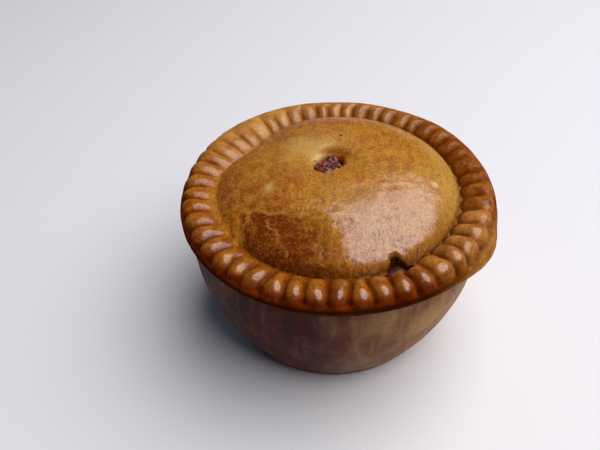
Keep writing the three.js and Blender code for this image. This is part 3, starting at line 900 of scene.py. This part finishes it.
# past the scorched part the wash soaked in and dried matt, up to a ragged edge
ragged_edge = 3 * mm * (mottle - 0.5) + 2 * mm * (blotch - 0.5)
soaked = 1.0 - (x + 0.39 * (y + 28.8 * mm) + ragged_edge).rise(-1.4 * mm, 0.9 * mm)
soaked = soaked * fold_line.rise(-1.5 * mm, 1 * mm) * lid
left_end = 1.0 - x.rise(-52 * mm, -36 * mm)
dull = bloom + 0.8 * shaded_vent_slope + low_face + 0.9 * soaked + 0.5 * net + prick
dull = dull + (0.45 * back_left + 0.7 * right + furrow + 0.3 * left_end) * (1.0 - lid)
dull = dull.capped()
feed(0.45 + 0.2 * grain["Grain"], shader.inputs["Roughness"])
pores = speckle(tree, spot, 2200.0, 3.0, 0.7).rise(0.42, 0.6)
feed((1.0 - 0.6 * pores - 0.3 * mottle * fleck) * (1.0 - dull), shader.inputs["Coat Weight"])
bump = add(tree, "ShaderNodeBump", {"Strength": 0.4, "Distance": 0.4 * mm})
feed(grain["Grain"] * 0.35 + mottle * 0.5 + net * 0.4 - grain["Pits"] * 0.7, bump.inputs["Height"])
feed(Field(bump.outputs[0]), shader.inputs["Normal"])

lid_piece = make_piece(
    "crimped_lid",
    profile_object(
        "lid_profile",
        [row[:2] for row in lid_rows],
        crimping=[row[2] for row in lid_rows],
        sagging=[row[3] for row in lid_rows],
        inner_crimping=[row[4] if len(row) > 4 else 0.0 for row in lid_rows],
        outward=lid_outs,
        upward=lid_ups,
        top=[float(k >= top_start) for k in range(len(lid_rows))],
        sinking=below_mouth,
    ),
    lid_tree,
    {
        "Crimps": 48,
        "Crimp Depth": 2.0 * mm,
        "Crimp Roundness": 0.72,
        "Crimp Spread": 0.04,
        "Crimp Fronting": 0.05,
        "Crimp Turn": -0.035,
        "Crimp Wander": 0.01,
        "Crimp Slant": 5.0,
        "Crest Radius": CREST_RADIUS,
        "Groove Radius": GROOVE_RADIUS,
        "Groove Fill": 3.2 * mm,
        "Long Crimp Angle": 2.5,
        "Long Crimp Reach": 4.2 * mm,
        "Sag Angle": -0.43,
        "Sag Drop": 4.4 * mm,
        "Sag Out": 2.1 * mm,
        "Nub Angle": 2.53,
        "Nub Out": 1.2 * mm,
        "Dome Height": PIE_HEIGHT - GROOVE_HEIGHT,
        "Vent X": VENT.x,
        "Vent Y": VENT.y,
        "Vent Mouth": VENT_MOUTH,
        "Funnel Radius": 7.4 * mm,
        "Funnel Depth": 2.4 * mm,
        "Fold Depth": 1.5 * mm,
        "Split Angle": SPLIT_ANGLE,
        "Split Floor": 54.7 * mm,
        "Lumps": 0.8 * mm,
        "Seed": 11,
    },
    washed_crust,
)
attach(lid_piece, "root")
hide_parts("pastry")

# ---- Filling in the vent ----
# Through the steam hole shows the chopped pork, cured pink and cooked dark where it met the hot air. The
# jelly that was poured in through the hole has set over it and makes it shine.

filling_tree, _, size = new_tree(
    "chopped_filling",
    {
        "Pieces": 26,
        "Spread": 0.0,
        "Piece Size": 0.0,
        "Level": 0.0,
        "Centre X": 0.0,
        "Centre Y": 0.0,
        "Lumps": 0.0,
        "Seed": 0,
    },
)
round_bed = {"Vertices": 32, "Radius": size["Spread"]}
disc = add(filling_tree, "GeometryNodeMeshCircle", round_bed, fill_type="NGON")
strewing = {
    "Mesh": Field(disc.outputs[0]),
    "Density": size["Pieces"] / (size["Spread"] * size["Spread"] * math.pi),
    "Seed": size["Seed"],
}
strewn = add(filling_tree, "GeometryNodeDistributePointsOnFaces", strewing)
chunk = Field(add(filling_tree, "GeometryNodeMeshIcoSphere", {"Radius": 1.0, "Subdivisions": 4}).outputs[0])


def by_chance(low, high, seed):
    """A vector for each piece, drawn between two."""
    limits = {0: low, 1: high, "Seed": seed}
    return Field(add(filling_tree, "FunctionNodeRandomValue", limits, data_type="FLOAT_VECTOR").outputs[0])


turned = by_chance((0.0, 0.0, 0.0), (math.tau, math.tau, math.tau), size["Seed"])
stretched = by_chance((0.7, 0.45, 0.4), (1.3, 0.9, 0.8), size["Seed"] + 1.0)
grown = add(filling_tree, "ShaderNodeVectorMath", {0: stretched}, operation="SCALE")
feed(size["Piece Size"], grown.inputs["Scale"])
placing = {
    "Points": Field(strewn.outputs["Points"]),
    "Instance": chunk,
    "Rotation": turned,
    "Scale": Field(grown.outputs[0]),
}
placed = add(filling_tree, "GeometryNodeInstanceOnPoints", placing)
bed_size = vector_of(filling_tree, size["Spread"], size["Spread"], size["Piece Size"] * 0.8)
bed = add(filling_tree, "GeometryNodeTransform", {"Geometry": chunk, "Scale": bed_size})
heap = add(filling_tree, "GeometryNodeJoinGeometry")
for part in (bed.outputs[0], placed.outputs[0]):
    filling_tree.links.new(part, heap.inputs[0])
heap = add(filling_tree, "GeometryNodeRealizeInstances", {"Geometry": Field(heap.outputs[0])})
meat_skin = Field(heap.outputs[0])
for lumps_per_metre, share_of_height in ((450.0, 1.0), (1500.0, 0.35)):
    meat_skin = swell(filling_tree, meat_skin, lumps_per_metre, size["Lumps"] * share_of_height, size["Seed"])
centre = vector_of(filling_tree, size["Centre X"], size["Centre Y"], size["Level"])
heap = add(filling_tree, "GeometryNodeTransform", {"Geometry": meat_skin, "Translation": centre})
end_tree(filling_tree, Field(heap.outputs[0]), size["Material"])

meat, tree, shader, spot = new_material(
    "jellied_pork", {"IOR": 1.45, "Coat Roughness": 0.06, "Coat IOR": 1.4, "Coat Weight": 1.0}
)
lean = speckle(tree, spot, 420.0, 3.0, 0.6).rise(0.35, 0.65)
fat = speckle(tree, spot, 780.0, 2.0, 0.5).rise(0.56, 0.68)
colour = blend(tree, "#4A0E0A", "#80261C", lean)
colour = blend(tree, colour, "#B4705E", fat * 0.6)
feed(colour, shader.inputs["Base Color"])
feed(0.35 + 0.2 * fat, shader.inputs["Roughness"])
bump = add(tree, "ShaderNodeBump", {"Strength": 0.5, "Distance": 0.3 * mm})
feed(lean * 0.6 + fat * 0.3, bump.inputs["Height"])
feed(Field(bump.outputs[0]), shader.inputs["Normal"])


def point_object(name):
    """An empty mesh object for a tree that makes all of its own geometry."""
    source = bpy.data.objects.new(name, bpy.data.meshes.new(name))
    bpy.context.scene.collection.objects.link(source)
    return source


filling = make_piece(
    "vent_meat",
    point_object("filling_source"),
    filling_tree,
    {
        "Pieces": 26,
        "Spread": 4.7 * mm,
        "Piece Size": 1.5 * mm,
        "Level": 64.5 * mm,
        "Centre X": VENT.x,
        "Centre Y": VENT.y,
        "Lumps": 0.7 * mm,
        "Seed": 4,
    },
    meat,
)
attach(filling, "root")
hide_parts("vent_filling")

# ---- Gravy in the split ----
# Gravy boiled out where the lid's edge had pulled away from the crimps. It set there in a dark, sticky pool,
# a squashed drop that fills the bottom of the split.

gravy_tree, _, size = new_tree(
    "set_gravy",
    {
        "Half Length": 0.0,
        "Half Width": 0.0,
        "Depth": 0.0,
        "Turn": 0.0,
        "Distance": 0.0,
        "Level": 0.0,
        "Lumps": 0.0,
        "Seed": 0,
    },
)
drop = Field(add(gravy_tree, "GeometryNodeMeshIcoSphere", {"Radius": 1.0, "Subdivisions": 6}).outputs[0])
squashing = {
    "Geometry": drop,
    "Scale": vector_of(gravy_tree, size["Half Width"], size["Half Length"], size["Depth"]),
    "Translation": vector_of(gravy_tree, size["Distance"], 0.0, size["Level"]),
}
pool = Field(add(gravy_tree, "GeometryNodeTransform", squashing).outputs[0])
turning = {"Geometry": pool, "Rotation": vector_of(gravy_tree, 0.0, 0.0, size["Turn"])}
pool = Field(add(gravy_tree, "GeometryNodeTransform", turning).outputs[0])
for lumps_per_metre, share_of_height in ((380.0, 1.0), (1100.0, 0.3)):
    pool = swell(gravy_tree, pool, lumps_per_metre, size["Lumps"] * share_of_height, size["Seed"])
end_tree(gravy_tree, pool, size["Material"])

gravy, tree, shader, spot = new_material(
    "sticky_gravy", {"IOR": 1.45, "Coat Roughness": 0.25, "Coat IOR": 1.4, "Coat Weight": 0.3}
)
burnt = speckle(tree, spot, 500.0, 3.0, 0.6).rise(0.4, 0.65)
colour = blend(tree, "#420E08", "#702416", burnt)
feed(colour, shader.inputs["Base Color"])
feed(0.45 + 0.2 * burnt, shader.inputs["Roughness"])

gravy_pool = make_piece(
    "gravy_pool",
    point_object("gravy_source"),
    gravy_tree,
    {
        "Half Length": 3.5 * mm,
        "Half Width": 2.4 * mm,
        "Depth": 1.3 * mm,
        "Turn": SPLIT_ANGLE,
        "Distance": SPLIT_START + 2.5 * mm,
        "Level": 55.0 * mm,
        "Lumps": 1.0 * mm,
        "Seed": 9,
    },
    gravy,
)
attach(gravy_pool, "root")
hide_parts("split_gravy")
